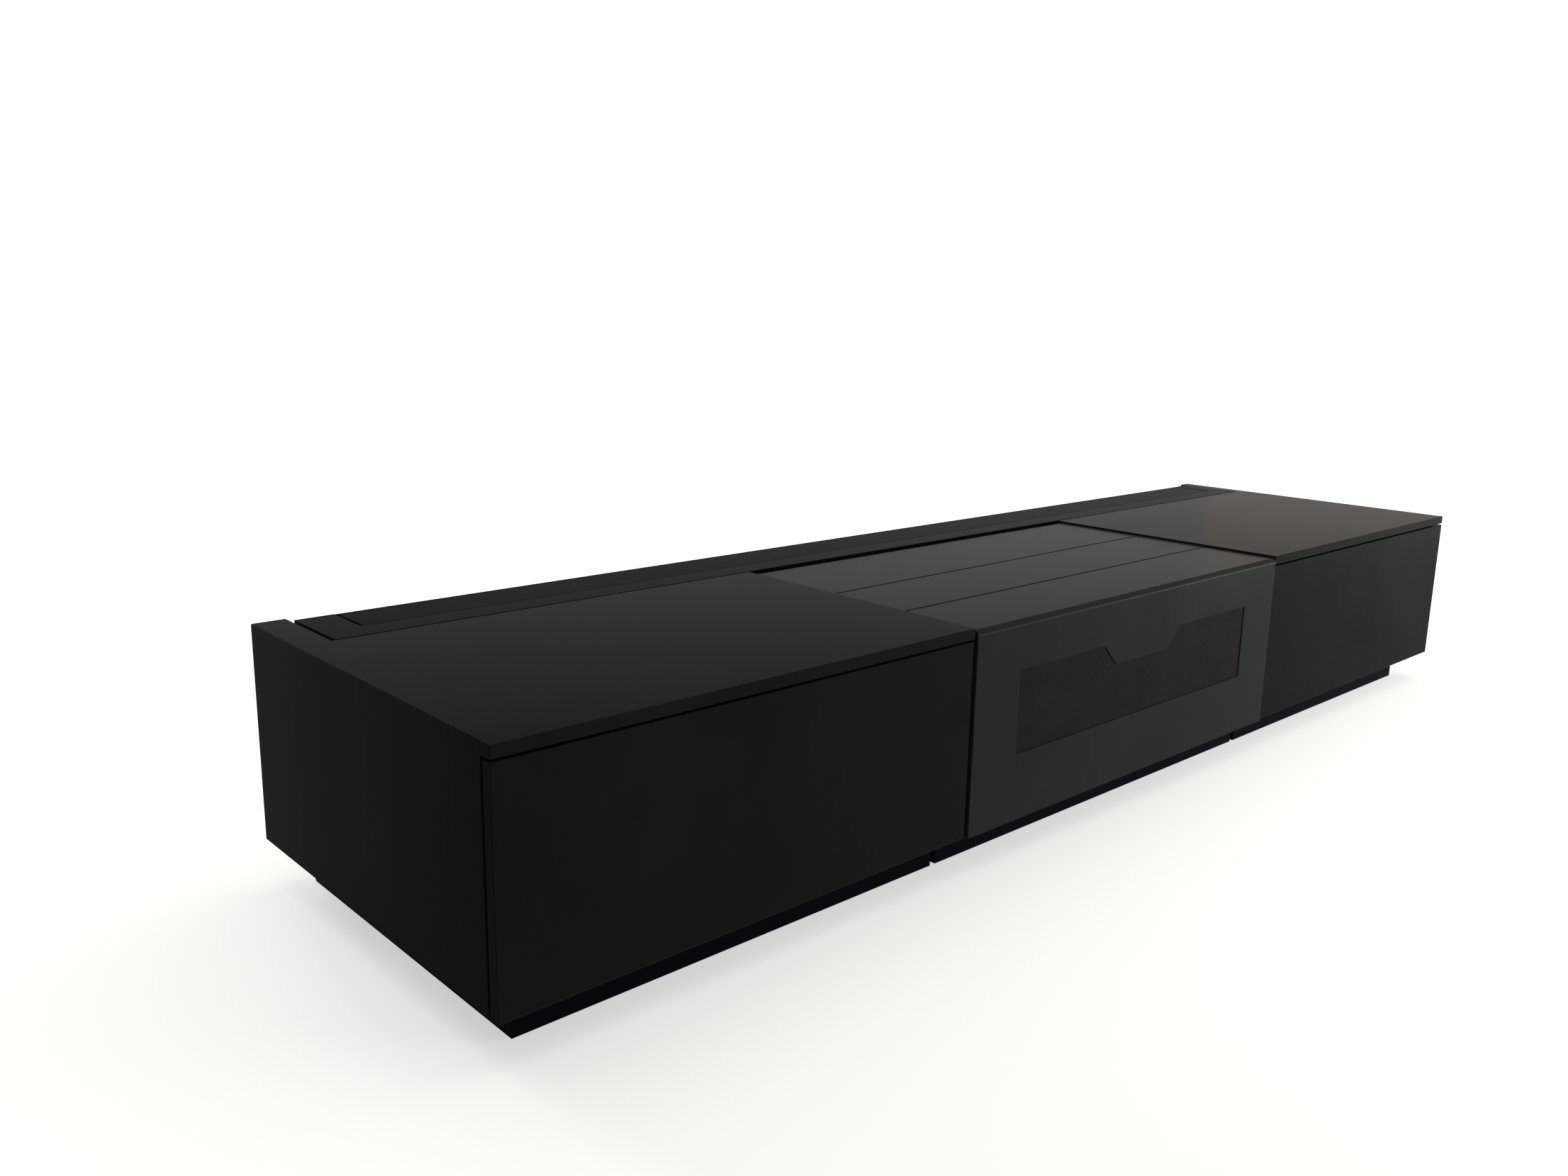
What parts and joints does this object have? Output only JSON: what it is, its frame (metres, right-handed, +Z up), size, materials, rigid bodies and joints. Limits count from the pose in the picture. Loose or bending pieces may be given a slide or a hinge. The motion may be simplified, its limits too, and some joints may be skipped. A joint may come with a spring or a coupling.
{
  "type": "motorized projector cabinet",
  "caption": "Long low black media cabinet with a motor-driven projector tray in its middle bay, a drawer on either side and a projection screen that rises from a rear housing.",
  "frame": {"origin": "on the floor, under the middle of the cabinet's overall width and depth", "axes": "+X to the right of someone facing the fronts, +Y to the rear, +Z up; the fronts face -Y"},
  "size_m": [2.4, 0.64, 0.374],
  "materials": {
    "black_board": "matte black lacquer on board",
    "black_plinth": "matte blue-black laminate",
    "coated_steel": "fine satin powder coat",
    "grille_steel": "perforated, matte powder coat",
    "zinc_steel": "bright zinc plate",
    "gear_steel": "machined",
    "rack_polymer": "moulded",
    "drawer_steel": "satin grey epoxy coat",
    "drawer_board": "dark grey melamine",
    "screen_alloy": "matte black anodised",
    "cap_plastic": "fine moulded grain",
    "roll_film": "black border of the screen film",
    "arm_alloy": "grey anodised",
    "motor_steel": "grey enamel",
    "control_plastic": "moulded"
  },
  "bodies": {
    "cabinet": {"center_back_panel": "black_board", "center_bottom_panel": "black_board", "center_plinth": "black_plinth", "control_box": "control_plastic", "cover_plate_front": "coated_steel", "cover_plate_rear": "coated_steel", "drive_bracket": "zinc_steel", "gear_motor": "motor_steel", "left_back_panel": "black_board", "left_bottom_panel": "black_board", "left_inner_panel": "black_board", "left_plinth": "black_plinth", "left_runner_inner": "zinc_steel", "left_runner_outer": "zinc_steel", "left_side_panel": "black_board", "left_top_panel": "black_board", "right_back_panel": "black_board", "right_bottom_panel": "black_board", "right_inner_panel": "black_board", "right_plinth": "black_plinth", "right_runner_inner": "zinc_steel", "right_runner_outer": "zinc_steel", "right_side_panel": "black_board", "right_top_panel": "black_board", "screen_cap_left": "cap_plastic", "screen_cap_right": "cap_plastic", "screen_cradle": "zinc_steel", "screen_housing": "screen_alloy", "shoulder_bracket": "zinc_steel", "tray_rail_fixed_left": "zinc_steel", "tray_rail_fixed_right": "zinc_steel"},
    "tray": {"front_cover": "coated_steel", "grille_mesh": "grille_steel", "tray_pan": "coated_steel", "tray_rail_inner_left": "zinc_steel", "tray_rail_inner_right": "zinc_steel", "drive_rack_left": "rack_polymer", "drive_rack_right": "rack_polymer"},
    "tray_mid": {"tray_rail_mid_left": "zinc_steel", "tray_rail_mid_right": "zinc_steel"},
    "drive": {"drive_shaft": "gear_steel", "drive_pinion_left": "gear_steel", "drive_pinion_right": "gear_steel"},
    "left_drawer": {"left_drawer_front": "black_board", "left_drawer_side_outer": "drawer_steel", "left_drawer_side_inner": "drawer_steel", "left_drawer_back": "drawer_board", "left_drawer_bottom": "drawer_board"},
    "right_drawer": {"right_drawer_front": "black_board", "right_drawer_side_outer": "drawer_steel", "right_drawer_side_inner": "drawer_steel", "right_drawer_back": "drawer_board", "right_drawer_bottom": "drawer_board"},
    "screen_bar": {"screen_bar": "screen_alloy", "screen_film": "roll_film"},
    "roller": {"fabric_roller": "roll_film"},
    "arm_lower_left": {"arm_lower_left": "arm_alloy"},
    "arm_upper_left": {"arm_upper_left": "arm_alloy"},
    "arm_lower_right": {"arm_lower_right": "arm_alloy"},
    "arm_upper_right": {"arm_upper_right": "arm_alloy"}
  },
  "joints": [
    {"name": "tray_slide", "type": "slide", "parent": "cabinet", "child": "tray", "axis": [0, -1, 0], "range_m": [0, 0.3]},
    {"name": "tray_mid_slide", "type": "slide", "parent": "cabinet", "child": "tray_mid", "axis": [0, -1, 0], "range_m": [0, 0.15]},
    {"name": "drive_turn", "type": "hinge", "parent": "cabinet", "child": "drive", "pos_m": [0, -0.22, 0.103], "axis": [1, 0, 0], "range_deg": [0, 860]},
    {"name": "left_drawer_slide", "type": "slide", "parent": "cabinet", "child": "left_drawer", "axis": [0, -1, 0], "range_m": [-0.0025, 0.3]},
    {"name": "right_drawer_slide", "type": "slide", "parent": "cabinet", "child": "right_drawer", "axis": [0, -1, 0], "range_m": [-0.0025, 0.3]},
    {"name": "screen_lift", "type": "slide", "parent": "cabinet", "child": "screen_bar", "axis": [0, 0, 1], "range_m": [0, 1.25], "deforming": ["screen_film"]},
    {"name": "roller_turn", "type": "hinge", "parent": "cabinet", "child": "roller", "pos_m": [0, 0.2105, 0.25], "axis": [1, 0, 0], "range_deg": [0, 2171]},
    {"name": "shoulder_left", "type": "hinge", "parent": "cabinet", "child": "arm_lower_left", "pos_m": [-0.04, 0.262, 0.3], "axis": [0, 1, 0], "range_deg": [0, 38.7]},
    {"name": "elbow_left", "type": "hinge", "parent": "arm_lower_left", "child": "arm_upper_left", "pos_m": [-1.04, 0.275, 0.3], "axis": [0, 1, 0], "range_deg": [-77.4, 0]},
    {"name": "shoulder_right", "type": "hinge", "parent": "cabinet", "child": "arm_lower_right", "pos_m": [0.08, 0.262, 0.3], "axis": [0, -1, 0], "range_deg": [0, 38.7]},
    {"name": "elbow_right", "type": "hinge", "parent": "arm_lower_right", "child": "arm_upper_right", "pos_m": [1.08, 0.275, 0.3], "axis": [0, -1, 0], "range_deg": [-77.4, 0]}
  ],
  "couplings": [
    {"joint": "tray_mid_slide", "follows": "tray_slide", "ratio": 0.5},
    {"joint": "drive_turn", "follows": "tray_slide", "rad_per_m": 50},
    {"joint": "roller_turn", "follows": "screen_lift", "rad_per_m": 30.303},
    {"joint": "shoulder_left", "follows": "screen_lift", "rad_per_m": 0.5401},
    {"joint": "elbow_left", "follows": "screen_lift", "rad_per_m": -1.0802},
    {"joint": "shoulder_right", "follows": "screen_lift", "rad_per_m": 0.5401},
    {"joint": "elbow_right", "follows": "screen_lift", "rad_per_m": -1.0802}
  ]
}
